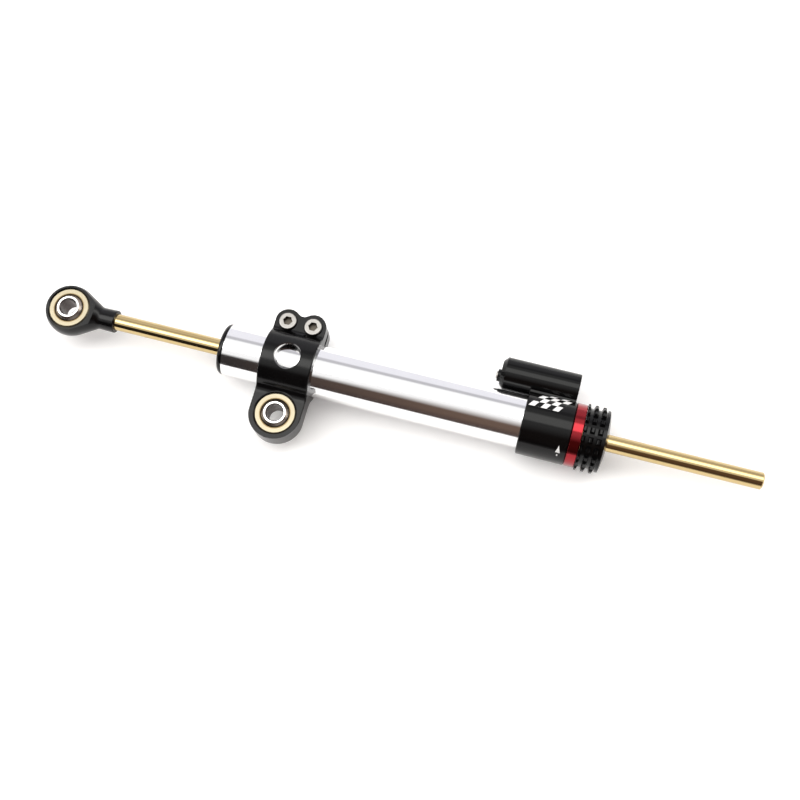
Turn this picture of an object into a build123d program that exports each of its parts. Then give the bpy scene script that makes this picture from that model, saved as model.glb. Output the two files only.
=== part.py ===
from build123d import *
import os
from math import cos, radians, sin, sqrt, tan

# Motorcycle steering damper with a rod that runs right through it, in millimetres.
# The origin is the centre of the clamp's bearing. +X runs along the rod, away from its rod end,
# +Y from the clamp's bearing towards the tube, and +Z along both bearing bores, to the screw heads.

# Layout along the tube
eye_spacing = 112.0  # rod end bearing to clamp bearing, as photographed
eye_to_tube = 25.6  # clamp bearing to the tube's axis
clamp_from_tube_end = 18.8
tube_shown = 142.8  # from the gland to the valve housing
housing_length = 22.6
collar_length = 4.9
knob_gap = 0.2
knob_length = 12.0
rod_tail = 71.3  # rod beyond the knob

# Rod and tubes
rod_r = 4.0
rod_tip_chamfer = 0.6
tube_r = 12.5
tube_wall = 1.2
oil_gap = 0.9  # between the two tubes, for the oil that goes round the piston
inner_tube_wall = 0.9
port_r = 1.1
port_count = 4
running = 0.03  # radial clearance of what slides or turns on something
cut = 1.0  # how far a cutter runs past the face that it cuts

# Gland at the rod end's side
cap_thickness = 2.7
cap_step = 0.2  # cap below the tube's skin
cap_round = 2.0
gland_depth = 11.0
spigot_length = 4.0
bush_r = 6.5
bush_length = 8.6
seal_length = 3.2
wiper_length = 3.2
wiper_proud = 0.4
rod_clear = 0.4  # where the rod passes a wall that doesn't guide it

# Piston
piston_length = 12.0
piston_side_gap = 0.3
band_length = 6.0
band_thickness = 0.8
clip_thickness = 1.0
clip_groove = 0.4
clip_width = 1.4
clip_opening_deg = 50.0
piston_place_share = 0.59  # where the piston stands in its stroke, as photographed

# Spherical bearings, alike in the rod end and in the clamp
ball_r = 7.94
ball_width = 12.0
ball_bore_r = 4.0
ball_chamfer = 0.33
liner_thickness = 0.3
liner_width = 7.6
race_r = 9.7
race_width = 9.0
race_chamfer = 0.4
seat_chamfer = 0.6

# Rod end
head_r = 12.2
head_width = 9.5
scoop_gap = 0.9  # between the head's outline and the step where its flat ends in the neck
neck_end = 23.5  # from the bearing's centre
neck_waist_r = 5.2
neck_end_r = 5.45
neck_slope_deg = 30.0
neck_blend = 4.0
neck_rim = 0.5
rod_thread = 11.0

# Clamp
clamp_width = 24.8
band_wall = 3.0
eye_plate = 10.0
eye_blend = 5.0
ear_height = 16.0
ear_blend = 2.5
ear_offset = 5.6  # from the tube's skin to the screws
ear_pitch_share = 0.5  # distance between the screws, as a share of the clamp's width
ear_valley_share = 0.64  # dip between the two ears, as a share of an ear's radius
slit = 2.5
window_r = 6.0
window_chamfer = 0.5
seat_r = 10.7  # spot face around the bearing
clamp_round = 0.6

# Clamp screws, M5 socket head
screw_r = 2.5
screw_clear = 0.25
screw_head_r = 4.25
screw_head = 5.0
screw_head_proud = 1.2
screw_head_chamfer = 0.55
screw_hex_r = 2.31
screw_hex_depth = 2.6
screw_length = 12.0
pocket_gap = 0.3

# Valve housing and reservoir
housing_wall = 2.3
housing_chamfer = 0.4
socket_depth = 8.0
web_width = 9.4
web_inset = 0.8
reservoir_gap = 0.85  # between the barrel and the tube
reservoir_r = 7.75
reservoir_length = 35.1
reservoir_bore_r = 6.0
reservoir_floor = 4.0
reservoir_edge = 0.3
oil_port_r = 1.0
collar_wall = 2.6
spigot_wall = 2.0
spigot_height = 3.0
collar_edge = 0.3

# Valve sleeve, turned by the knob
sleeve_r = 7.0
sleeve_start_gap = 1.2  # from the housing's socket floor
sleeve_neck_r = 6.2
sleeve_play = 0.1
sleeve_groove = 0.8
sleeve_slot_width = 2.4
knob_floor = 2.4

# Click detent
click_count = 20
click_ball_r = 1.25
click_depth = 0.3
click_pocket_depth = 7.4
click_spring_wire_r = 0.16
click_spring_turns = 5
click_spring_gap = 0.08

# Knob
knob_valley_step = 1.1  # below the housing's radius
knob_tooth_height = 1.8
knob_tooth_base = 2.4
knob_tooth_top = 1.2
knob_tooth_pitch = 3.65
knob_first_tooth = 0.3  # the knob's face cuts the first row in half
knob_rows = 3
knob_teeth = 20
knob_groove_floor = 1.4
knob_groove_top = 3.1
knob_tooth_round = 0.35
knob_rim_step = 0.3  # below the housing's radius
knob_rim_start = 9.3
knob_rim_end = 10.5
knob_face_r = 5.2
knob_dome_bulge = 0.3

# Reservoir cap, fill screw and floating piston
cap_plug_length = 4.0
reservoir_cap_height = 1.6
reservoir_cap_r = 7.3
reservoir_cap_chamfer = 1.5
boss_r = 2.95
boss_height = 1.5
boss_offset = 1.7  # from the cap's middle towards the tube, as photographed
fill_screw_r = 1.9
fill_screw_proud = 0.8
fill_screw_length = 4.5
fill_hex_r = 1.0
fill_hex_depth = 1.6
float_length = 7.0
float_travel = 3.0
float_cup_depth = 3.0
float_cup_r = 3.8

# O-rings: the section's radius, flattened between groove floor and bore
ring_r = 0.7
ring_squeeze_share = 0.85
groove_side_gap = 0.1

# Radii and places across the tube that follow from the sizes above
cap_r = tube_r - cap_step
band_r = tube_r + band_wall
ear_center = tube_r + ear_offset
screw_pitch = clamp_width * ear_pitch_share
housing_r = tube_r + housing_wall
reservoir_offset = tube_r + reservoir_gap + reservoir_r
spigot_r = housing_r - collar_wall
sleeve_flange_r = spigot_r - spigot_wall
click_circle_r = (sleeve_r + sleeve_flange_r) / 2
knob_valley_r = housing_r - knob_valley_step
knob_rim_r = housing_r - knob_rim_step

# Places along X that follow from the sizes above
tube_start = -clamp_width / 2 - clamp_from_tube_end
cap_face = tube_start - cap_thickness
housing_start = tube_start + tube_shown
housing_end = housing_start + housing_length
socket_floor = housing_start + socket_depth
collar_end = housing_end + collar_length
knob_start = collar_end + knob_gap
knob_end = knob_start + knob_length
rod_tip = knob_end + rod_tail
rod_eye = -eye_spacing
rod_start = rod_eye + neck_end - rod_thread
tube_bore_r = tube_r - tube_wall
inner_tube_r = tube_bore_r - oil_gap
piston_bore_r = inner_tube_r - inner_tube_wall
gland_shoulder = tube_start + gland_depth
chamber_start = gland_shoulder + spigot_length
guide_length = gland_depth + running
guide_shoulder = socket_floor - guide_length
chamber_end = guide_shoulder - spigot_length
stroke = chamber_end - chamber_start - piston_length - 2 * clip_thickness
piston_start = chamber_start + clip_thickness + stroke * piston_place_share
sleeve_start = socket_floor + sleeve_start_gap
sleeve_flange_start = housing_end + sleeve_play
sleeve_flange_end = housing_end + spigot_height - sleeve_play
sleeve_end = knob_end - knob_floor
reservoir_end = housing_end - web_inset
reservoir_start = reservoir_end - reservoir_length
float_start = reservoir_end - reservoir_floor - float_travel - running - float_length
match = 0.001  # how closely an edge is matched when it is looked up


def along_x(radius, start, end):
    """A cylinder on the tube's axis."""
    middle = Pos((start + end) / 2, eye_to_tube, 0)
    return middle * Rot(0, 90, 0) * Cylinder(radius, end - start)


def ring_along_x(outer, inner, start, end):
    return along_x(outer, start, end) - along_x(inner, start - cut, end + cut)


def beside_tube(shape):
    """Moves a shape made on the tube's axis to the reservoir's axis."""
    return Pos(0, reservoir_offset, 0) * shape


def turned(points):
    """Revolves an outline of (place along X, radius) points about the tube's axis."""
    face = make_face(Polyline(*points, close=True))
    return Pos(0, eye_to_tube, 0) * revolve(face, Axis.X)


def rims(shape, radius, x=None, z=None):
    """The circular edges of one radius, at one X or one Z."""
    found = ShapeList()
    for edge in shape.edges().filter_by(GeomType.CIRCLE):
        center = edge.arc_center
        if abs(edge.radius - radius) > match:
            continue
        if x is not None and abs(center.X - x) > match:
            continue
        if z is not None and abs(center.Z - z) > match:
            continue
        found.append(edge)
    return found


def around(shape, count):
    """Copies of a shape, spaced evenly around the tube's axis."""
    center = Pos(0, eye_to_tube, 0)
    home = Pos(0, -eye_to_tube, 0)
    return [center * Rot(360 / count * i, 0, 0) * home * shape for i in range(count)]


def bearing_height(width):
    """A slab about the bearing's middle plane, wider than any bearing piece."""
    return Box(2 * race_r + cut, 2 * race_r + cut, width)


def bearing_ball():
    ball = Sphere(ball_r) & bearing_height(ball_width)
    ball -= Cylinder(ball_bore_r, ball_width + cut)
    mouths = rims(ball, ball_bore_r, z=ball_width / 2) + rims(ball, ball_bore_r, z=-ball_width / 2)
    return chamfer(mouths, ball_chamfer)


def bearing_liner():
    inner_r = ball_r + running
    shell = Sphere(inner_r + liner_thickness) - Sphere(inner_r)
    return shell & bearing_height(liner_width)


def bearing_race():
    race = Cylinder(race_r, race_width)
    edges = rims(race, race_r)
    race = chamfer(edges, race_chamfer)
    return race - Sphere(ball_r + liner_thickness + 2 * running)


def bearing_seat(body, place, width):
    """Bores a bearing's seat through a plate of this width and eases both of its mouths."""
    body -= place * Cylinder(race_r, width + cut)
    mouth_height = seat_chamfer + cut
    for side in (0, 180):
        cone = Cone(race_r, race_r + mouth_height, mouth_height)
        lift = Pos(0, 0, width / 2 - seat_chamfer + mouth_height / 2)
        body -= place * Rot(side, 0, 0) * lift * cone
    return body


def rod_end_outline():
    """Half of the rod end's outline: a round head that runs into a slightly waisted neck."""
    slope = radians(neck_slope_deg)
    tangent_x = head_r * sin(slope)
    tangent_y = head_r * cos(slope)
    waist_x = tangent_x + (tangent_y - neck_waist_r) / tan(slope)
    head = CenterArc((0, 0), head_r, 90 - neck_slope_deg, 90 + neck_slope_deg)
    neck = Polyline(
        (tangent_x, tangent_y), (waist_x, neck_waist_r), (neck_end, neck_end_r), (neck_end, 0), (-head_r, 0)
    )
    face = make_face(head.edges() + neck.edges())
    corner = face.vertices().sort_by_distance((waist_x, neck_waist_r, 0))[0]
    face = fillet(corner, neck_blend)
    rim = face.vertices().sort_by_distance((neck_end, neck_end_r, 0))[0]
    return fillet(rim, neck_rim)


def rod_end_housing():
    blank = revolve(rod_end_outline(), Axis.X)
    scoop = Cylinder(head_r + scoop_gap, head_r)
    for side in (-1, 1):
        blank -= Pos(0, 0, side * (head_width + head_r) / 2) * scoop
    blank = bearing_seat(blank, Pos(0, 0, 0), head_width)
    body = Pos(rod_eye, eye_to_tube, 0) * blank
    return body - along_x(rod_r, rod_start, rod_eye + neck_end + cut)


def piston_rod():
    rod = along_x(rod_r, rod_start, rod_tip)
    rod = chamfer(rims(rod, rod_r), rod_tip_chamfer)
    for start in clip_places():
        rod -= ring_along_x(rod_r + cut, rod_r - clip_groove, start, start + clip_thickness)
    return rod


def clip_places():
    return (piston_start - clip_thickness, piston_start + piston_length)


def piston_clips():
    clips = []
    reach = rod_r + clip_width
    for start in clip_places():
        ring = ring_along_x(reach, rod_r - clip_groove, start, start + clip_thickness)
        half = radians(clip_opening_deg / 2)
        mouth = Polyline((0, 0), (2 * reach * cos(half), 2 * reach * sin(half)),
                         (2 * reach * cos(half), -2 * reach * sin(half)), close=True)
        wedge = extrude(Plane.YZ * make_face(mouth), clip_thickness + cut)
        ring -= Pos(start - cut / 2, eye_to_tube, 0) * wedge
        clips.append(ring)
    return Compound(children=clips)


def band_span():
    middle = piston_start + piston_length / 2
    return middle - band_length / 2, middle + band_length / 2


def piston():
    outer = piston_bore_r - piston_side_gap
    body = ring_along_x(outer, rod_r, piston_start, piston_start + piston_length)
    start, end = band_span()
    floor_r = piston_bore_r - 2 * running - band_thickness
    return body - ring_along_x(outer + cut, floor_r, start - running, end + running)


def piston_band():
    start, end = band_span()
    outer = piston_bore_r - running
    return ring_along_x(outer, outer - band_thickness, start, end)


def o_ring(bore_r, center):
    """A ring that its groove and the bore around it hold flat on two sides."""
    height = 2 * ring_r * ring_squeeze_share
    middle_r = bore_r - height / 2
    section = Pos(center, middle_r) * (Circle(ring_r) & Rectangle(2 * ring_r, height))
    return Pos(0, eye_to_tube, 0) * revolve(section, Axis.X)


def o_ring_groove(bore_r, center):
    floor_r = bore_r - 2 * ring_r * ring_squeeze_share
    half = ring_r + groove_side_gap
    return ring_along_x(bore_r + cut, floor_r, center - half, center + half)


def damper_tube():
    return ring_along_x(tube_r, tube_bore_r, tube_start, socket_floor)


def port_drills(x, depth_r):
    drill = Pos(x, eye_to_tube, depth_r / 2) * Cylinder(port_r, depth_r)
    return around(drill, port_count)


def inner_tube():
    body = ring_along_x(inner_tube_r, piston_bore_r, gland_shoulder, guide_shoulder)
    port_x = chamber_start + 2 * port_r
    return body - port_drills(port_x, tube_r)


gland_ring_x = tube_start + gland_depth / 2
gland_seal_end = tube_start + gland_depth - running + spigot_length - bush_length - ring_r


def gland_head():
    cap = along_x(cap_r, cap_face, tube_start)
    cap = fillet(rims(cap, cap_r, x=cap_face), cap_round)
    body = cap + along_x(tube_bore_r, tube_start, gland_shoulder)
    body += along_x(piston_bore_r, gland_shoulder, chamber_start)
    body -= along_x(bush_r, cap_face - cut, cap_face + wiper_length)
    body -= along_x(rod_r + rod_clear, cap_face, chamber_start)
    body -= along_x(bush_r, gland_seal_end - seal_length, chamber_start + cut)
    return body - o_ring_groove(tube_bore_r, gland_ring_x)


def rod_ring(start, length):
    """A bush or seal that guides the rod."""
    return ring_along_x(bush_r, rod_r + running, start, start + length)


def gland_wiper():
    """A scraper ring whose lip stands a little out of the gland."""
    lip_r = (bush_r + rod_r) / 2
    face = cap_face - wiper_proud
    inner = rod_r + running
    return turned([
        (face, inner), (face, lip_r - wiper_proud), (cap_face, lip_r),
        (cap_face, bush_r), (cap_face + wiper_length, bush_r), (cap_face + wiper_length, inner),
    ])


guide_seal_start = chamber_end + bush_length + ring_r


def guide_head():
    body = along_x(piston_bore_r, chamber_end, guide_shoulder)
    body += along_x(tube_bore_r, guide_shoulder, socket_floor)
    body -= along_x(bush_r, chamber_end - cut, guide_seal_start + seal_length)
    body -= along_x(rod_r + rod_clear, chamber_end, socket_floor + cut)
    passage_r = (bush_r + piston_bore_r) / 2
    passage = Pos(0, passage_r, 0) * along_x(oil_port_r, chamber_end - cut, socket_floor + cut)
    groove = Pos(0, tube_bore_r, 0) * along_x(oil_gap, guide_shoulder - cut, socket_floor + cut)
    turn = Pos(0, eye_to_tube, 0) * Rot(180 / port_count, 0, 0) * Pos(0, -eye_to_tube, 0)
    body -= around(passage, port_count)
    return body - around(turn * groove, port_count)


def valve_housing():
    body = along_x(housing_r, housing_start, housing_end)
    body = chamfer(rims(body, housing_r), housing_chamfer)
    body += along_x(spigot_r, housing_end, housing_end + spigot_height)
    body += housing_web()
    body += reservoir_barrel()
    body -= reservoir_bore()
    body -= along_x(tube_r, housing_start - cut, socket_floor)
    body -= o_ring_groove_inside(tube_r, housing_ring_x)
    body -= along_x(rod_r + rod_clear, socket_floor - cut, sleeve_start)
    body -= along_x(sleeve_r + running, sleeve_start - running, housing_end + cut)
    flange_room = sleeve_flange_r + running
    body -= along_x(flange_room, housing_end, housing_end + spigot_height + cut)
    body -= housing_oil_ways()
    return body - click_pocket()


def housing_web():
    """The block between the tube's socket and the reservoir, with flat sides."""
    length = reservoir_end - housing_start
    web = Box(length, reservoir_offset, web_width)
    uprights = web.edges().filter_by(Axis.Y)
    web = chamfer(uprights, reservoir_edge)
    return Pos((housing_start + reservoir_end) / 2, eye_to_tube + reservoir_offset / 2, 0) * web


def reservoir_barrel():
    barrel = along_x(reservoir_r, reservoir_start, reservoir_end)
    return beside_tube(chamfer(rims(barrel, reservoir_r), reservoir_edge))


def reservoir_bore():
    return beside_tube(along_x(reservoir_bore_r, reservoir_start - cut, reservoir_end - reservoir_floor))


housing_ring_x = socket_floor - 2 * ring_r - groove_side_gap


def o_ring_groove_inside(shaft_r, center):
    """A groove in a bore, around a shaft."""
    half = ring_r + groove_side_gap
    return along_x(shaft_r + 2 * ring_r * ring_squeeze_share, center - half, center + half)


def o_ring_around(shaft_r, center):
    return o_ring(shaft_r + 2 * ring_r * ring_squeeze_share, center)


sleeve_slot_x = (sleeve_start + housing_end) / 2


def housing_oil_ways():
    """A gallery around the sleeve, and the drilling from it to the reservoir."""
    half = sleeve_slot_width / 2
    gallery = along_x(sleeve_r + sleeve_groove, sleeve_slot_x - half, sleeve_slot_x + half)
    drill_y = reservoir_offset - reservoir_bore_r
    drill = Rot(90, 0, 0) * Cylinder(oil_port_r, drill_y)
    return [gallery, Pos(sleeve_slot_x, eye_to_tube + drill_y / 2, 0) * drill]


def click_pocket():
    pocket_r = click_ball_r + running
    pocket = along_x(pocket_r, housing_end - click_pocket_depth, housing_end + cut)
    return Pos(0, -click_circle_r, 0) * pocket


def click_dimples():
    """A ring of conical pits that the detent ball drops into."""
    mouth_r = sqrt(click_ball_r ** 2 - (click_ball_r - click_depth) ** 2) + running
    floor_r = mouth_r / 2
    depth = click_depth + 2 * running
    pit = Rot(0, 90, 0) * Cone(mouth_r, floor_r, depth)
    dimple = Pos(sleeve_flange_start + depth / 2, eye_to_tube - click_circle_r, 0) * pit
    return around(dimple, click_count)


def detent_ball():
    ball_x = sleeve_flange_start - running - click_ball_r
    return Pos(ball_x, eye_to_tube - click_circle_r, 0) * Sphere(click_ball_r)


def detent_spring():
    """A small coil between the pocket's floor and the ball, swept on quarter-turn arcs."""
    coil_r = click_ball_r - click_spring_gap - click_spring_wire_r
    start = housing_end - click_pocket_depth + click_spring_wire_r
    end = sleeve_flange_start - running - 2 * click_ball_r
    pitch = (end - start) / click_spring_turns
    steps = 4

    def on_coil(turns):
        angle = radians(360 * turns)
        return Vector(start + pitch * turns, coil_r * cos(angle), coil_r * sin(angle))

    arcs = []
    for i in range(click_spring_turns * steps):
        middle = (i + 0.5) / steps
        arcs.append(ThreePointArc(on_coil(i / steps), on_coil(middle), on_coil((i + 1) / steps)))
    path = Wire(arcs)
    section = Plane(origin=path @ 0, z_dir=path % 0) * Circle(click_spring_wire_r)
    return Pos(0, eye_to_tube - click_circle_r, 0) * sweep(section, path)


def collar_ring():
    """The coloured ring that screws over the housing's spigot and holds the sleeve's flange."""
    ring = along_x(housing_r, housing_end, collar_end)
    ring = chamfer(rims(ring, housing_r), collar_edge)
    ring -= along_x(spigot_r, housing_end - cut, housing_end + spigot_height)
    return ring - along_x(sleeve_neck_r + rod_clear, housing_end, collar_end + cut)


def valve_sleeve():
    body = along_x(sleeve_r, sleeve_start, sleeve_flange_start)
    body += along_x(sleeve_flange_r, sleeve_flange_start, sleeve_flange_end)
    body += along_x(sleeve_neck_r, sleeve_flange_end, sleeve_end)
    body -= along_x(rod_r + rod_clear, sleeve_start - cut, sleeve_end + cut)
    for x in sleeve_ring_places():
        body -= o_ring_groove(sleeve_r, x)
    half = sleeve_slot_width / 2
    eccentric = Pos(0, -sleeve_groove / 2, 0)
    slot = ring_along_x(sleeve_r + 2 * cut, sleeve_r - sleeve_groove, sleeve_slot_x - half, sleeve_slot_x + half)
    body -= eccentric * slot
    return body - click_dimples()


def sleeve_ring_places():
    reach = sleeve_slot_width / 2 + 2 * ring_r + 2 * groove_side_gap
    return (sleeve_slot_x - reach, sleeve_slot_x + reach)


def sleeve_o_rings():
    """Rings that ride in the sleeve and turn in the housing's bore."""
    rings = []
    for x in sleeve_ring_places():
        rings.append(o_ring(sleeve_r, x))
    return Compound(children=rings)


def knob_outline():
    """Three ridges, a plain rim and a domed end, turned in one piece."""
    top_r = knob_valley_r + knob_tooth_height
    points = [(0, sleeve_neck_r), (0, knob_valley_r)]
    for row in range(knob_rows):
        x = knob_first_tooth + row * knob_tooth_pitch
        foot = knob_tooth_base / 2
        crest = knob_tooth_top / 2
        if x > foot:
            points.append((x - foot, knob_valley_r))
        start = max(x - crest, 0)
        points.append((start, top_r))
        points.append((x + crest, top_r))
        points.append((x + foot, knob_valley_r))
    points.append((knob_rim_start, knob_valley_r))
    points.append((knob_rim_start, knob_rim_r))
    points.append((knob_rim_end, knob_rim_r))
    dome = SagittaArc(points[-1], (knob_length, knob_face_r), knob_dome_bulge)
    rest = Polyline(
        (knob_length, knob_face_r), (knob_length, rod_r + rod_clear),
        (knob_length - knob_floor, rod_r + rod_clear), (knob_length - knob_floor, sleeve_neck_r),
        points[0],
    )
    face = make_face(Polyline(*points).edges() + dome.edges() + rest.edges())
    crests = ShapeList(v for v in face.vertices() if v.Y > top_r - match and v.X > match)
    return fillet(crests, knob_tooth_round)


def adjuster_knob():
    outline = knob_outline()
    knob = Pos(knob_start, eye_to_tube, 0) * revolve(outline, Axis.X)
    return knob - around(knob_groove(), knob_teeth)


def knob_groove():
    """One of the milled grooves that cut the ridges into teeth, wider at the top."""
    top_r = knob_valley_r + knob_tooth_height + cut
    spread = (knob_groove_top - knob_groove_floor) / 2 * (1 + cut / knob_tooth_height)
    half_floor = knob_groove_floor / 2
    half_top = half_floor + spread
    profile = Polyline(
        (-half_floor, knob_valley_r), (half_floor, knob_valley_r),
        (half_top, top_r), (-half_top, top_r), close=True
    )
    cutter = extrude(Plane.YZ * make_face(profile), knob_rim_start + cut)
    turn = Rot(180 / knob_teeth, 0, 0)
    return Pos(knob_start - cut, eye_to_tube, 0) * turn * cutter


def at_boss(shape):
    """Moves a shape made on the tube's axis to the side, where the cap's boss stands."""
    return Pos(0, -boss_offset, 0) * shape


def reservoir_cap():
    face = reservoir_start - reservoir_cap_height
    cap = along_x(reservoir_cap_r, face, reservoir_start)
    cap = chamfer(rims(cap, reservoir_cap_r, x=face), reservoir_cap_chamfer)
    cap += at_boss(along_x(boss_r, face - boss_height, face))
    cap += along_x(reservoir_bore_r, reservoir_start, reservoir_start + cap_plug_length)
    cap -= o_ring_groove(reservoir_bore_r, cap_ring_x)
    tip = face - boss_height
    cap -= at_boss(along_x(fill_screw_r, tip - cut, tip + fill_screw_length - fill_screw_proud))
    cap -= at_boss(along_x(fill_hex_r, tip, reservoir_start + cap_plug_length + cut))
    return beside_tube(cap)


cap_ring_x = reservoir_start + cap_plug_length / 2


def cap_o_ring():
    return beside_tube(o_ring(reservoir_bore_r, cap_ring_x))


def fill_screw():
    tip = reservoir_start - reservoir_cap_height - boss_height
    face = tip - fill_screw_proud
    screw = along_x(fill_screw_r, face, face + fill_screw_length)
    screw = fillet(rims(screw, fill_screw_r, x=face), fill_screw_proud * 3 / 4)
    hexagon = extrude(Plane.YZ * RegularPolygon(fill_hex_r, 6), fill_hex_depth)
    screw -= Pos(face, eye_to_tube, 0) * hexagon
    return beside_tube(at_boss(screw))


def floating_piston():
    outer = reservoir_bore_r - running
    body = along_x(outer, float_start, float_start + float_length)
    body -= along_x(float_cup_r, float_start - cut, float_start + float_cup_depth)
    return beside_tube(body - o_ring_groove(outer, float_ring_x))


float_ring_x = float_start + float_length / 2


def float_o_ring():
    return beside_tube(o_ring(reservoir_bore_r - running, float_ring_x))


def clamp_section():
    """The clamp seen along the tube: a band with the eye's plate below it and the ears above."""
    band = Circle(band_r)
    plate_low = clamp_width / 2 + eye_to_tube
    plate = Pos(0, -plate_low / 2) * Rectangle(eye_plate, plate_low)
    ear_top = ear_center + clamp_width / 2
    ear = Pos(0, ear_top / 2) * Rectangle(ear_height, ear_top)
    face = band + plate + ear
    plate_y = -sqrt(band_r ** 2 - (eye_plate / 2) ** 2)
    ear_y = sqrt(band_r ** 2 - (ear_height / 2) ** 2)
    for x, y, radius in ((eye_plate / 2, plate_y, eye_blend), (ear_height / 2, ear_y, ear_blend)):
        for side in (-1, 1):
            corner = face.vertices().sort_by_distance((side * x, y, 0))[0]
            face = fillet(corner, radius)
    return face


def clamp_outline():
    """The clamp seen from the front: a round eye, straight sides and two round ears."""
    half = clamp_width / 2
    ear_y = eye_to_tube + ear_center
    ear_x = screw_pitch / 2
    ear_r = half - ear_x
    dip = ear_r * ear_valley_share
    valley_r = (ear_r ** 2 - ear_x ** 2 - dip ** 2) / (2 * (dip - ear_r))
    valley_y = ear_y + dip + valley_r
    share = ear_r / (ear_r + valley_r)
    touch_x = ear_x * (1 - share)
    touch_y = ear_y + (valley_y - ear_y) * share
    outline = Circle(half) + Pos(0, ear_y / 2) * Rectangle(clamp_width, ear_y)
    outline += Pos(ear_x, ear_y) * Circle(ear_r)
    outline += Pos(-ear_x, ear_y) * Circle(ear_r)
    web = make_face(Polyline((ear_x, ear_y), (touch_x, touch_y), (-touch_x, touch_y), (-ear_x, ear_y), close=True))
    return outline + (web - Pos(0, valley_y) * Circle(valley_r))


def clamp_blank():
    section = Plane(origin=(-clamp_width / 2, eye_to_tube, 0), x_dir=(0, 0, -1), z_dir=(1, 0, 0))
    across = extrude(section * clamp_section(), clamp_width)
    faces = across.edges().group_by(Axis.X)
    across = fillet(faces[0] + faces[-1], clamp_round)
    reach = 2 * band_r
    from_front = extrude(Plane.XY.offset(-reach / 2) * clamp_outline(), reach)
    return across & from_front


def screw_places():
    ear_y = eye_to_tube + ear_center
    return [Pos(-screw_pitch / 2, ear_y, 0), Pos(screw_pitch / 2, ear_y, 0)]


screw_seat_z = ear_height / 2 + screw_head_proud - screw_head


def clamp_window(body):
    """A round window to the tube, with its edge chamfered all round."""
    body -= Pos(0, eye_to_tube, band_r / 2) * Cylinder(window_r, band_r + cut)
    saddle = body.edges().filter_by(GeomType.BSPLINE).sort_by(lambda edge: edge.bounding_box().max.Z)[-1]
    return chamfer(saddle, window_chamfer)


def clamp_body():
    body = clamp_blank()
    body = clamp_window(body)
    body -= along_x(tube_r + running, -clamp_width, clamp_width)
    slit_length = ear_center + clamp_width / 2
    slit_y = eye_to_tube + tube_r - tube_wall + slit_length / 2
    body -= Pos(0, slit_y, 0) * Box(clamp_width + cut, slit_length, slit)
    spot = Cylinder(seat_r, band_r)
    body -= Pos(0, 0, (eye_plate + band_r) / 2) * spot
    body -= Pos(0, 0, -(eye_plate + band_r) / 2) * spot
    body = bearing_seat(body, Pos(0, 0, 0), eye_plate)
    for place in screw_places():
        body -= place * screw_cutter()
    return body


def screw_cutter():
    """The head's pocket, the clear hole above the slit and the tapped hole below it."""
    pocket = Pos(0, 0, screw_seat_z + screw_head / 2) * Cylinder(screw_head_r + pocket_gap, screw_head)
    clear = Pos(0, 0, screw_seat_z / 2) * Cylinder(screw_r + screw_clear, screw_seat_z)
    tapped = Pos(0, 0, -ear_height / 2) * Cylinder(screw_r, ear_height)
    return pocket + clear + tapped


def clamp_screws():
    """Two M5 socket head screws, as separate solids."""
    head = Pos(0, 0, screw_seat_z + screw_head / 2) * Cylinder(screw_head_r, screw_head)
    top = screw_seat_z + screw_head
    head = fillet(rims(head, screw_head_r, z=top), screw_head_chamfer)
    shank = Pos(0, 0, screw_seat_z - screw_length / 2) * Cylinder(screw_r, screw_length)
    hexagon = extrude(Plane.XY.offset(top - screw_hex_depth) * RegularPolygon(screw_hex_r, 6), screw_hex_depth)
    screw = head + shank - hexagon
    return Compound(children=[place * screw for place in screw_places()])


def parts():
    """Every node of the damper, by name."""
    at_rod_eye = Pos(rod_eye, eye_to_tube, 0)
    return {
        "damper_tube": damper_tube(),
        "inner_tube": inner_tube(),
        "gland_head": gland_head(),
        "gland_bush": rod_ring(gland_seal_end, bush_length),
        "gland_seal": rod_ring(gland_seal_end - seal_length, seal_length),
        "gland_wiper": gland_wiper(),
        "gland_o_ring": o_ring(tube_bore_r, gland_ring_x),
        "guide_head": guide_head(),
        "guide_bush": rod_ring(guide_seal_start - bush_length, bush_length),
        "guide_seal": rod_ring(guide_seal_start, seal_length),
        "housing_o_ring": o_ring_around(tube_r, housing_ring_x),
        "piston_rod": piston_rod(),
        "piston": piston(),
        "piston_band": piston_band(),
        "piston_clips": piston_clips(),
        "rod_end_housing": rod_end_housing(),
        "rod_end_race": at_rod_eye * bearing_race(),
        "rod_end_liner": at_rod_eye * bearing_liner(),
        "rod_end_ball": at_rod_eye * bearing_ball(),
        "clamp_body": clamp_body(),
        "clamp_race": bearing_race(),
        "clamp_liner": bearing_liner(),
        "clamp_ball": bearing_ball(),
        "clamp_screws": clamp_screws(),
        "valve_housing": valve_housing(),
        "collar_ring": collar_ring(),
        "valve_sleeve": valve_sleeve(),
        "sleeve_o_rings": sleeve_o_rings(),
        "adjuster_knob": adjuster_knob(),
        "detent_ball": detent_ball(),
        "detent_spring": detent_spring(),
        "reservoir_cap": reservoir_cap(),
        "cap_o_ring": cap_o_ring(),
        "fill_screw": fill_screw(),
        "floating_piston": floating_piston(),
        "float_o_ring": float_o_ring(),
    }


os.makedirs("parts", exist_ok=True)
for name, shape in parts().items():
    export_step(shape, "parts/" + name + ".step")

print("stroke", round(stroke, 2), "piston starts at", round(piston_start, 2))
print("rod travel", round(-stroke * piston_place_share, 2), round(stroke * (1 - piston_place_share), 2))
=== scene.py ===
# %% [markdown]
# # A motorcycle steering damper
# The damper is a polished tube on a gold-coated rod, with black and red anodised ends and two
# spherical bearings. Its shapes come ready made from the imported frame, where each is a solid of
# its own, and none is made again here. So this lesson is about finishes: how turned, drawn,
# ground and anodised metal each catch the light.

# %% Load the frame
from math import pi, radians

import bpy
from mathutils import Matrix, Vector


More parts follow.
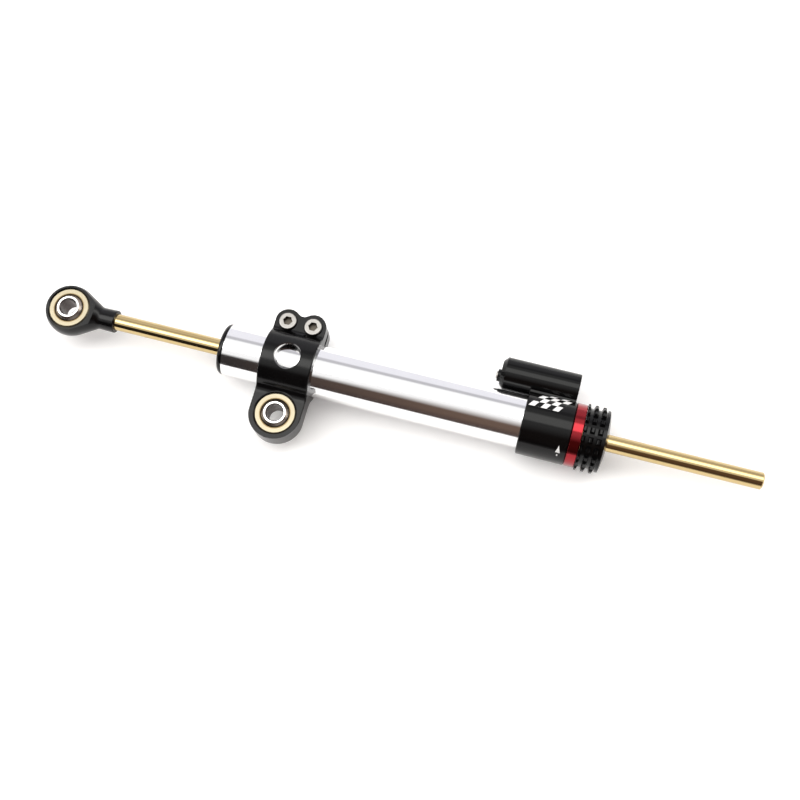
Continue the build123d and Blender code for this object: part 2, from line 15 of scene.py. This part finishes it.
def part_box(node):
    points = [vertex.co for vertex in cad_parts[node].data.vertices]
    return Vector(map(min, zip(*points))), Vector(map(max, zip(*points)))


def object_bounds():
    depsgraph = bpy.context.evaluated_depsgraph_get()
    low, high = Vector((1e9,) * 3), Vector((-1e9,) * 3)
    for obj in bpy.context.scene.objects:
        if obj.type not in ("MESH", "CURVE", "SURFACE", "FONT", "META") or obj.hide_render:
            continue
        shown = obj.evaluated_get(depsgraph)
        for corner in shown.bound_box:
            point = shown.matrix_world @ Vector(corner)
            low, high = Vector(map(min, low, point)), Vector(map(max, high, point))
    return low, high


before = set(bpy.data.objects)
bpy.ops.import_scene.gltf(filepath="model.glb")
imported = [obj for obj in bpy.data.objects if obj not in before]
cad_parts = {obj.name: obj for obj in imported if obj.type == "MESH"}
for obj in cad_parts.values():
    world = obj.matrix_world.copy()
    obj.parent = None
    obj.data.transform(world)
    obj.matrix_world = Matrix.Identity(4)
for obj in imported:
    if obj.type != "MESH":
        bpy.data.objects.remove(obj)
cad_low, cad_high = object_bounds()

# %% [markdown]
# ## Sizes read from the frame
# Some finishes need to know where the tube's axis or a bearing's centre is. These places could be
# typed in, but then they would be wrong as soon as a size changes. So the main ones are measured on
# the nodes. Smaller sizes, such as a bore's radius, are typed in beside the finish that uses them,
# and have to be changed by hand if the solids change. All is in metres.


# %% Places on the damper
def corners(node):
    return [Vector(corner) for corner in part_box(node)]


def middle(node):
    low, high = corners(node)
    return (low + high) / 2


def span(node):
    low, high = corners(node)
    return high - low


TUBE = middle("damper_tube")
ROD_EYE = middle("rod_end_ball")
CLAMP_EYE = middle("clamp_ball")
HOUSING_R = span("valve_housing").z / 2
print("tube axis at y", round(TUBE.y, 4), "housing radius", round(HOUSING_R, 4))

# %% [markdown]
# ## A socket that does arithmetic
# Shader maths could be laid out by hand as a web of boxes, but it is easier to read as a formula.
# This small class wraps one output socket, and each operator adds the Math node that works it
# out. Masks come from `above`, `below` and `between`, which are 0 or 1 with a soft step.


# %% Sockets as numbers
class Value:
    """An output socket, with the operators of ordinary arithmetic."""

    def __init__(self, tree, socket):
        self.tree = tree
        self.socket = socket

    def math(self, operation, *others, clamp=False):
        node = self.tree.nodes.new("ShaderNodeMath")
        node.operation = operation
        node.use_clamp = clamp
        for place, item in enumerate((self,) + others):
            if isinstance(item, Value):
                self.tree.links.new(item.socket, node.inputs[place])
            else:
                node.inputs[place].default_value = item
        return Value(self.tree, node.outputs[0])

    def __add__(self, other):
        return self.math("ADD", other)

    def __sub__(self, other):
        return self.math("SUBTRACT", other)

    def __mul__(self, other):
        return self.math("MULTIPLY", other)

    def __truediv__(self, other):
        return self.math("DIVIDE", other)

    def __rsub__(self, other):
        return (self * -1) + other

    __radd__ = __add__
    __rmul__ = __mul__

    def above(self, edge, soft):
        """1 where the value is over the edge, 0 under it, with a soft step between."""
        return ((self - edge) / soft + 0.5).math("ADD", 0.0, clamp=True)

    def below(self, edge, soft):
        return 1 - self.above(edge, soft)

    def between(self, low, high, soft):
        return self.above(low, soft) * self.below(high, soft)


def length(first, second):
    return (first * first + second * second).math("SQRT")


print("sums, masks and lengths are ready")

# %% [markdown]
# ## A maker of nodes
# A node needs three things: its type, its settings and what goes into its inputs. One method takes
# all three, so that a material reads from top to bottom. An underscore in a name stands for a
# space, so `Base_Color` feeds the input called Base Color. The other methods are short names for
# what this damper needs often.


# %% The maker
class Maker:
    """Adds nodes to one material's or world's tree."""

    def __init__(self, tree):
        self.tree = tree
        self.tree.nodes.clear()

    def add(self, kind, settings=None, **inputs):
        node = self.tree.nodes.new("ShaderNode" + kind)
        for name, setting in (settings or {}).items():
            setattr(node, name, setting)
        for name, item in inputs.items():
            self.feed(node, name, item)
        return node

    def feed(self, node, name, item):
        name = name.replace("_", " ")
        socket = next(s for s in node.inputs if s.name == name and s.enabled)
        if isinstance(item, Value):
            self.tree.links.new(item.socket, socket)
        elif isinstance(item, tuple) and socket.type == "RGBA":
            socket.default_value = (*item, 1)
        else:
            socket.default_value = item

    def value(self, node, name=None):
        outputs = [s for s in node.outputs if s.enabled]
        return Value(self.tree, next(s for s in outputs if name in (None, s.name)))

    def place(self, kind="Object"):
        return self.value(self.add("TexCoord"), kind)

    def where(self, kind="Object"):
        """X, Y and Z of the surface in the frame, or of the ray's direction for a world."""
        parts = self.add("SeparateXYZ", Vector=self.place(kind))
        return [self.value(parts, axis) for axis in "XYZ"]

    def noise(self, vector, detail=2.0):
        return self.value(self.add("TexNoise", Vector=vector, Scale=1.0, Detail=detail), "Fac")

    def grain(self, x, y, z, detail=2.0):
        """Noise with about x, y and z waves to the metre along the three axes."""
        mapping = self.add("Mapping", Vector=self.place(), Scale=(x, y, z))
        return self.noise(self.value(mapping), detail)

    def cloud(self, waves, detail=2.0):
        """Noise that is the same in all directions."""
        return self.grain(waves, waves, waves, detail)

    def mix(self, share, first, second):
        """A colour between two colours."""
        node = self.add("Mix", {"data_type": "RGBA"}, Factor=share, A=first, B=second)
        return self.value(node, "Result")

    def ray(self, kind):
        """1 for one kind of ray and 0 for all others."""
        return self.value(self.add("LightPath"), kind)

    def show(self, shader, output="OutputMaterial"):
        surface = self.add(output).inputs["Surface"]
        self.tree.links.new(shader.outputs[0], surface)


print("the maker is ready")

# %% [markdown]
# ## One way to make a metal
# No real metal is one flat colour. Every finish here is the Principled shader with the same three
# things varied over the surface: colour, roughness and a very small bump, whose depth is in
# metres. Each could be a full material of its own, but a helper takes the three from a function,
# so that each finish below only says what is special about it.


# %% A finish
def finish_of(name, build, **fixed):
    """A material whose varying sockets come from build(maker) and whose others are fixed."""
    material = bpy.data.materials.new(name)
    material.use_nodes = True
    maker = Maker(material.node_tree)
    sockets = {**fixed, **build(maker)}
    if "height" in sockets:
        height, depth = sockets.pop("height"), sockets.pop("depth")
        bump = maker.add("Bump", Strength=1.0, Distance=depth, Height=height)
        sockets["Normal"] = maker.value(bump)
    maker.show(maker.add("BsdfPrincipled", **sockets))
    return material


def dress(node_names, name, build, **fixed):
    """Makes a finish and puts it on CAD nodes."""
    material = finish_of(name, build, **fixed)
    for node_name in node_names:
        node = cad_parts[node_name]
        node.data.materials.clear()
        node.data.materials.append(material)
    print(name, "on", ", ".join(node_names))


print("finishes can be made")

# %% [markdown]
# ## The polished tube
# The tube is drawn and then polished lengthwise. At arm's length it is nearly a mirror, but fine
# lines along it smear each reflection a little. The shader's anisotropy could smear them too, but
# it wants tangents, and it can't be baked. So the roughness and the bump follow a noise that is
# stretched along X.


# %% Polished tube
def polished(maker):
    along = maker.grain(12, 900, 900, detail=3.0)
    cloud = maker.cloud(90)
    return {
        "Base_Color": maker.mix(cloud, (0.86, 0.86, 0.87), (0.92, 0.92, 0.925)),
        "Roughness": 0.06 + along * 0.06 + cloud * 0.03,
        "height": along,
        "depth": 0.0000015,
    }


dress(["damper_tube"], "polished_tube", polished, Metallic=1.0)

# %% [markdown]
# ## Black anodised metal
# Anodising leaves a hard, slightly glassy black skin over aluminium. It could be a dark metal, but
# then its gloss would be dark as well. A black body with a clear gloss of a low index is nearer:
# only the softbox shows in it. Turned pieces keep the marks of the lathe as fine rings about the
# tube's axis, and milled ones have an even grain and are duller.

# %% Black anodised
LATHE_RINGS = (2600, 40, 40)
MILLED_GRAIN = (300, 300, 300)
TURNED_ROUGH = 0.05
MILLED_ROUGH = 0.13
CLAMP_ROUGH = 0.11
TURNED_IOR = 1.31
MILLED_IOR = 1.335


def black_skin(maker, marks, rough):
    fine = maker.cloud(2500, detail=1.0)
    cloud = maker.cloud(70, detail=3.0)
    return {
        "Base_Color": maker.mix(cloud, (0.0012, 0.0011, 0.0013), (0.0026, 0.0025, 0.0027)),
        "Roughness": rough + cloud * 0.08 + fine * 0.04,
        "height": maker.grain(*marks) + fine * 0.3,
        "depth": 0.000003,
    }


def turned(maker):
    return black_skin(maker, LATHE_RINGS, TURNED_ROUGH)


def milled(maker):
    return black_skin(maker, MILLED_GRAIN, MILLED_ROUGH)


dress(["gland_head", "reservoir_cap", "adjuster_knob"], "black_turned", turned, IOR=TURNED_IOR)
dress(["rod_end_housing"], "black_milled", milled, IOR=MILLED_IOR)

# %% [markdown]
# ## Marks on the valve housing
# Marks on anodised metal are burnt in by laser: the dye goes and bare grey metal shows. Here they
# are a slanted chequer and an index arrow for the knob's clicks. They could be thin raised pieces,
# but a laser leaves nothing raised, so they are masks in the finish. Both are worked out on the
# unrolled cylinder, where one direction is X and the other is the arc in degrees about the tube's
# axis, from straight up towards the reservoir.

# %% Chequer and arrow
CHEQUER_START = 0.1126
CHEQUER_LOW = 19.0
SQUARE_LENGTH = 0.00276
SQUARE_DEG = 12.0
COLUMNS = 5
ROWS = 4
SLANT = 0.00015  # metres along X for each degree

ARROW_X = 0.1303
ARROW_TIP = -40.5
ARROW_FOOT = -56
ARROW_SLOPE = 0.00007  # metres of half width for each degree
BAR_HIGH = -60
BAR_LOW = -64
BAR_HALF_WIDTH = 0.0003

SKIN_DEPTH = 0.0003
SKIN_HEIGHT = 0.0002
BARE_GREY = (0.74, 0.73, 0.72)
BARE_ROUGHER = 0.3


def outer_skin(up, z):
    """1 on the housing's own cylinder, so that no mark lies on its web or reservoir."""
    return length(up, z).between(HOUSING_R - SKIN_DEPTH, HOUSING_R + SKIN_HEIGHT, soft=0.0001)


def chequer(x, arc):
    row = (arc - CHEQUER_LOW) / SQUARE_DEG
    column = (x - CHEQUER_START - row * (SLANT * SQUARE_DEG)) / SQUARE_LENGTH
    even = ((column.math("FLOOR") + row.math("FLOOR")) * 0.5).math("FRACT").below(0.25, soft=0.01)
    return even * column.between(0, COLUMNS, soft=0.02) * row.between(0, ROWS, soft=0.03)


def arrow(x, arc):
    """A triangle that points up to the knob's scale, and a short bar below it."""
    off_centre = (x - ARROW_X).math("ABSOLUTE")
    half_width = (ARROW_TIP - arc) * ARROW_SLOPE
    inside = (half_width - off_centre).above(0, soft=0.00004)
    triangle = inside * arc.between(ARROW_FOOT, ARROW_TIP, soft=0.4)
    bar = off_centre.below(BAR_HALF_WIDTH, soft=0.00005)
    bar = bar * arc.between(BAR_LOW, BAR_HIGH, soft=0.4)
    return (triangle + bar).math("MINIMUM", 1.0)


def housing_skin(maker):
    skin = turned(maker)
    x, y, z = maker.where()
    up = y - TUBE.y
    arc = up.math("ARCTAN2", z) * (180 / pi)
    marks = (chequer(x, arc) + arrow(x, arc)).math("MINIMUM", 1.0) * outer_skin(up, z)
    skin["Base_Color"] = maker.mix(marks, skin["Base_Color"], BARE_GREY)
    skin["Roughness"] = skin["Roughness"] + marks * BARE_ROUGHER
    return skin


dress(["valve_housing"], "housing_black", housing_skin, IOR=TURNED_IOR)
print("squares", SQUARE_LENGTH, "m long and", round(radians(SQUARE_DEG) * HOUSING_R, 5), "m high")

# %% [markdown]
# ## Clamp
# The clamp is milled, and its round window shows the tube. The window's edge was cut after
# anodising, so its bevel is bare. The bevel could have a material of its own on its faces, but
# their numbers change whenever the solid does. So a mask finds it by the distance from the
# window's axis, and by the height above the tube.

# %% Clamp
WINDOW_R = 0.0060
WINDOW_Z = 0.0128
BEVEL = 0.0004
BARE_BEVEL = (0.24, 0.235, 0.235)


def clamp_skin(maker):
    skin = black_skin(maker, MILLED_GRAIN, CLAMP_ROUGH)
    x, y, z = maker.where()
    away = length(x, y - TUBE.y)
    bare = away.below(WINDOW_R + BEVEL, soft=0.00004) * z.above(WINDOW_Z, soft=0.0003)
    skin["Base_Color"] = maker.mix(bare, skin["Base_Color"], BARE_BEVEL)
    skin["Metallic"] = bare
    return skin


dress(["clamp_body"], "clamp_black", clamp_skin, IOR=MILLED_IOR)

# %% [markdown]
# ## Red anodised ring
# Red dye is clearer than black. It lies in a clear layer over bright metal, so the ring stays a
# metal with red reflections, and the clear layer adds a white gloss of its own. That is the
# shader's metal with a coat, where a red plastic would look dull.

# %% Red ring
RED_COAT = {"Coat_Weight": 0.35, "Coat_Roughness": 0.1}


def anodised_red(maker):
    rings = maker.grain(3000, 30, 30)
    cloud = maker.cloud(80)
    return {
        "Base_Color": maker.mix(cloud, (0.26, 0.009, 0.015), (0.31, 0.012, 0.020)),
        "Roughness": 0.08 + rings * 0.07,
        "height": rings,
        "depth": 0.000003,
    }


dress(["collar_ring"], "red_anodised", anodised_red, Metallic=1.0, **RED_COAT)

# %% [markdown]
# ## Gold-coated rod
# The rod slides in its seals, so it is ground, coated and polished again. Grinding goes round the
# rod, so its lines are rings, far finer than the lathe's. They are too fine to model, and a noise
# that is squeezed along X gives them at every distance.


# %% Gold-coated rod
def gold_coat(maker):
    rings = maker.grain(5200, 60, 60)
    cloud = maker.grain(60, 200, 200)
    return {
        "Base_Color": maker.mix(cloud, (0.53, 0.40, 0.19), (0.61, 0.47, 0.24)),
        "Roughness": 0.05 + rings * 0.05 + cloud * 0.03,
        "height": rings,
        "depth": 0.000001,
    }


dress(["piston_rod"], "gold_coated", gold_coat, Metallic=1.0)

# %% [markdown]
# ## Bearings
# Each outer ring is turned and as pale as worn brass, and its marks run round the bearing's bore
# and not round the rod. A noise in X and Y couldn't follow them, but one in the distance from the
# bore's axis does. The same distance parts the ball into its bore, its bright flat faces and its
# sphere. It also places painted shade: dark in the ball's bore, brown on the sphere's band by the
# ring, and brown on the ring's seat next to the ball.

# %% Bearing rings and balls
BORE_R = 0.004
# Width of the painted shade ring round each ball's bore.
COUNTERSINK_SHADE = 0.0004
FACE_R = 0.0052
SEAT_R = 0.0074
MARKS = 5000
# Painted shade: brown on the rings' seats next to the balls.
SEAT_PAINTED_SHADE = (0.17, 0.12, 0.06)
# Painted shade for the balls' bores.
BORE_PAINTED_SHADE = (0.13, 0.11, 0.105)


def from_bore(maker, center):
    x, y, z = maker.where()
    return length(x - center.x, y - center.y)


def bearing_ring(center):
    """Pale brass on the ring's face, and brown painted shade on its seat next to the ball."""
    def build(maker):
        away = from_bore(maker, center)
        rows = maker.add("CombineXYZ", X=away * MARKS, Y=maker.where()[2] * MARKS)
        marks = maker.noise(maker.value(rows))
        cloud = maker.cloud(160)
        face = maker.mix(cloud, (0.325, 0.282, 0.198), (0.375, 0.330, 0.235))
        return {
            # The seat next to the ball is painted brown as shade, where the ring meets the ball.
            "Base_Color": maker.mix(away.below(SEAT_R, soft=0.0002), face, SEAT_PAINTED_SHADE),
            "Roughness": 0.24 + marks * 0.12,
            "height": marks,
            "depth": 0.000004,
        }
    return build


def ball_polish(center):
    """Bright on the flat faces, brown painted shade on the sphere by the ring, and dark painted
    shade in the bore.
    """
    def build(maker):
        cloud = maker.cloud(260)
        away = from_bore(maker, center)
        # The bore and a ring 0.4 mm wide round it are darkened as painted shade.
        bore = away.below(BORE_R + COUNTERSINK_SHADE, soft=0.00004)
        sphere = away.above(FACE_R, soft=0.00005)
        bright = maker.mix(cloud, (0.70, 0.69, 0.68), (0.80, 0.79, 0.78))
        # The sphere's band by the ring is browned as painted shade.
        sphere_shade = maker.mix(cloud, (0.33, 0.28, 0.24), (0.40, 0.35, 0.31))
        outside = maker.mix(sphere, bright, sphere_shade)
        return {
            "Base_Color": maker.mix(bore, outside, BORE_PAINTED_SHADE),
            "Roughness": 0.08 + cloud * 0.08 + (bore + sphere) * 0.16,
        }
    return build


dress(["rod_end_race"], "rod_end_ring", bearing_ring(ROD_EYE), Metallic=1.0)
dress(["clamp_race"], "clamp_ring", bearing_ring(CLAMP_EYE), Metallic=1.0)
dress(["rod_end_ball"], "rod_end_ball_steel", ball_polish(ROD_EYE), Metallic=1.0)
dress(["clamp_ball"], "clamp_ball_steel", ball_polish(CLAMP_EYE), Metallic=1.0)

# %% [markdown]
# ## Springs, seals and what lies inside
# Inside are the piston, the bushes, the seals and the knob's click. They could stay grey, but the
# ends of some of them show, and all of them show in a cut-away. They share five plain satin
# finishes, because here the kind of stuff tells more than its wear does.


# %% Small parts
def satin(low, high, rough):
    """An even finish between two colours."""
    def build(maker):
        cloud = maker.cloud(420, detail=3.0)
        return {
            "Base_Color": maker.mix(cloud, low, high),
            "Roughness": rough + cloud * 0.12,
            "height": cloud,
            "depth": 0.000006,
        }
    return build


steel = satin((0.40, 0.385, 0.365), (0.48, 0.46, 0.44), 0.22)
alloy = satin((0.60, 0.60, 0.61), (0.70, 0.70, 0.71), 0.28)
bronze = satin((0.48, 0.32, 0.14), (0.62, 0.44, 0.20), 0.30)
rubber = satin((0.012, 0.012, 0.012), (0.03, 0.03, 0.03), 0.55)
plastic = satin((0.03, 0.028, 0.025), (0.07, 0.06, 0.05), 0.45)

STEEL = ["fill_screw", "piston_clips", "detent_ball", "detent_spring"]
ALLOY = ["inner_tube", "guide_head", "piston", "floating_piston"]
BRONZE = ["gland_bush", "guide_bush", "valve_sleeve"]
SEALS = ["gland_seal", "gland_wiper", "gland_o_ring", "guide_seal",
         "housing_o_ring", "sleeve_o_rings", "cap_o_ring", "float_o_ring"]
SLIDES = ["piston_band", "rod_end_liner", "clamp_liner"]

dress(STEEL, "satin_steel", steel, Metallic=1.0)
dress(ALLOY, "plain_alloy", alloy, Metallic=1.0)
dress(BRONZE, "bush_bronze", bronze, Metallic=1.0)
dress(SEALS, "seal_rubber", rubber)
dress(SLIDES, "slide_liner", plastic)

# %% [markdown]
# ## Clamp screws
# The two socket heads look forged and then faced: only their faces are bright. Their sockets and
# the rims round their faces are darkened as painted shade. Both are in one node, so the mask needs
# the distance from the nearer screw. Each screw's axis is found from the box round the two.

# %% Clamp screws
HEX_R = 0.00235
FACE_EDGE_R = 0.00385
HEAD_R = 0.00425
SOCKET_DEPTH = 0.0001
EDGE_DEPTH = 0.0007
# Painted shade for the sockets and for the heads' rims.
SOCKET_PAINTED_SHADE = (0.09, 0.078, 0.065)
RIM_PAINTED_SHADE = (0.13, 0.125, 0.12)

screws_low, screws_high = corners("clamp_screws")
screw_y = middle("clamp_screws").y
screw_xs = (screws_low.x + HEAD_R, screws_high.x - HEAD_R)
screw_top = screws_high.z


def screw_steel(maker):
    skin = satin((0.27, 0.258, 0.246), (0.36, 0.343, 0.327), 0.18)(maker)
    x, y, z = maker.where()
    left, right = ((x - screw_x).math("ABSOLUTE") for screw_x in screw_xs)
    away = length(left.math("MINIMUM", right), y - screw_y)
    # Painted shade: the socket and the rim round each head's face are darkened.
    socket = away.below(HEX_R, soft=0.00005) * z.below(screw_top - SOCKET_DEPTH, soft=0.0001)
    edge = away.above(FACE_EDGE_R, soft=0.0001) * z.above(screw_top - EDGE_DEPTH, soft=0.0001)
    color = maker.mix(edge, skin["Base_Color"], RIM_PAINTED_SHADE)
    skin["Base_Color"] = maker.mix(socket, color, SOCKET_PAINTED_SHADE)
    skin["Roughness"] = skin["Roughness"] + socket * 0.15
    return skin


dress(["clamp_screws"], "screw_steel", screw_steel, Metallic=1.0)
print("screws at x", [round(place, 5) for place in screw_xs])

# %% [markdown]
# ## The room
# Polished metal shows the room more than itself. The room could be built from lamps and cards,
# but on a long tube a reflection's turn about the long axis matters most, so a world with a ring
# of plain colours does nearly the same. There is a softbox overhead, a pale wall behind
# the reservoir, and a dark side in front of the clamp's eye. The turn is an angle in degrees from
# straight up towards the wall. The softbox has a bright core, and it lies a little askew, so the
# turn is skewed with the direction along X, where low belongs to the rod end and high to the tip.

# %% The room's colours
SOFTBOX_NEAR = (3.5, 3.5, 3.4)
SOFTBOX_FAR = (4.4, 4.4, 4.3)
SOFTBOX_EDGE = (1.07, 1.06, 1.05)
SOFTBOX_BACK = (1.14, 1.14, 1.13)
LINE = (0.57, 0.56, 0.59)
WALL = (0.96, 0.95, 1.0)
DARK_NEAR = (0.150, 0.098, 0.075)
DARK_FAR = (0.030, 0.026, 0.026)
DARK_FOOT = (0.066, 0.048, 0.044)
TABLE = (0.55, 0.53, 0.52)
WHITE = (1.0, 1.0, 1.0)
print("the softbox's core is", round(SOFTBOX_FAR[0] / WALL[0], 1), "times as bright as the wall")

# %% [markdown]
# The colours meet at edges. Each pair below is an edge and how soft it is, in degrees of turn, or
# in X for the last three. A hard edge gives the crisp lines along the tube, and the dark side's
# soft one gives the brown band that fades upwards.

# %% The room's edges
DARK_LOW = (-86, 4)
FOOT_HIGH = (-72, 30)
CORE_LOW = (-3, 3)
CORE_HIGH = (26, 5)
BOX_HIGH = (44, 4)
WALL_LOW = (58, 6)
NEAR_X = (-0.17, 0.2)
TIP_X = (0.09, 0.06)
ROD_END_X = (-0.38, 0.04)

DARK_HIGH = -27
DARK_SOFT = 8
DARK_SOFTER_NEAR = 18
CORE_WIDER = 13
SKEW = 45


def room_color(maker):
    x, y, z = maker.where("Generated")
    turn = y.math("ARCTAN2", z) * (180 / pi) - x * SKEW
    near = x.above(*NEAR_X)

    core = maker.mix(near, SOFTBOX_FAR, SOFTBOX_NEAR)
    lamp = maker.mix(turn.above(*CORE_LOW), SOFTBOX_EDGE, core)
    wider = x.below(*ROD_END_X) * CORE_WIDER
    lamp = maker.mix((turn - wider).above(*CORE_HIGH), lamp, SOFTBOX_BACK)

    foot = maker.mix(near, DARK_FAR, DARK_FOOT)
    dark = maker.mix(turn.above(*FOOT_HIGH), foot, maker.mix(near, DARK_FAR, DARK_NEAR))
    dark_soft = near * x.below(*TIP_X) * DARK_SOFTER_NEAR + DARK_SOFT

    color = maker.mix(turn.above(*DARK_LOW), TABLE, dark)
    color = maker.mix(turn.above(DARK_HIGH, dark_soft), color, lamp)
    color = maker.mix(turn.above(*BOX_HIGH), color, LINE)
    return maker.mix(turn.above(*WALL_LOW), color, WALL)


def room():
    world = bpy.data.worlds.new("studio")
    bpy.context.scene.world = world
    world.use_nodes = True
    maker = Maker(world.node_tree)
    color = maker.mix(maker.ray("Is Camera Ray"), room_color(maker), WHITE)
    maker.show(maker.add("Background", Color=color, Strength=1.0), "OutputWorld")
    return world


print("made the world", room().name, "with", len(bpy.context.scene.world.node_tree.nodes), "nodes")

# %% [markdown]
# ## The floor
# The damper lies on white paper, which is level just under the knob's teeth. More light would make
# the paper white, but it would bleach the damper too. So a little glow brings it up to white, only
# for the camera and, less of it, for reflections, and the paper keeps its shadows.

# %% White paper
TEETH_R = 0.0155
FLOOR_Z = min(cad_low[2], -TEETH_R)
FLOOR_REACH = 4.0
GLOW = 0.16
GLOW_IN_METAL = 0.06


def paper():
    material = bpy.data.materials.new("paper")
    material.use_nodes = True
    maker = Maker(material.node_tree)
    color = maker.mix(maker.cloud(30), (0.91, 0.90, 0.90), (0.93, 0.92, 0.92))
    glow = maker.ray("Is Camera Ray") * GLOW + maker.ray("Is Glossy Ray") * GLOW_IN_METAL
    both = maker.add("AddShader")
    layers = (
        maker.add("BsdfDiffuse", Color=color),
        maker.add("Emission", Color=WHITE, Strength=glow),
    )
    for layer, socket in zip(layers, both.inputs):
        maker.tree.links.new(layer.outputs[0], socket)
    maker.show(both)
    return material


def floor():
    mesh = bpy.data.meshes.new("floor")
    signs = ((-1, -1), (1, -1), (1, 1), (-1, 1))
    places = [(x * FLOOR_REACH, y * FLOOR_REACH, FLOOR_Z) for x, y in signs]
    mesh.from_pydata(places, [], [(0, 1, 2, 3)])
    plane = bpy.data.objects.new("floor", mesh)
    bpy.context.collection.objects.link(plane)
    mesh.materials.append(paper())


floor()
print("floor at z", round(FLOOR_Z, 4))

# %% [markdown]
# ## The camera
# A camera could be aimed by eye, but then few edges lie quite where they should. This one was
# found by fitting a full perspective to the sides of the tube and the rod, the round edges of the
# pieces on them, the rod end's bore and the clamp's eye plate. It stands half a metre above the
# valve housing, on the side of the clamp's eye, and it is rolled so that the damper lies slantwise
# across the picture.

# %% Camera
CAMERA_PLACE = Vector((0.118784, -0.118654, 0.519926))
CAMERA_RIGHT = Vector((0.963707, 0.262421, -0.049023))
CAMERA_UP = Vector((-0.238846, 0.929582, 0.280768))
SENSOR_WIDTH_MM = 36.0
LENS_MM = 52.28
CLIP_START = 0.01


def camera():
    data = bpy.data.cameras.new("camera")
    data.sensor_width = SENSOR_WIDTH_MM
    data.lens = LENS_MM
    data.clip_start = CLIP_START
    eye = bpy.data.objects.new("camera", data)
    back = CAMERA_RIGHT.cross(CAMERA_UP).normalized()
    turn = Matrix((CAMERA_RIGHT, CAMERA_UP, back)).transposed().to_4x4()
    eye.matrix_world = Matrix.Translation(CAMERA_PLACE) @ turn
    bpy.context.collection.objects.link(eye)
    bpy.context.scene.camera = eye
    bpy.context.scene.view_settings.view_transform = "Standard"


camera()
print("camera", round((CAMERA_PLACE - TUBE).length, 3), "m from the tube's middle")
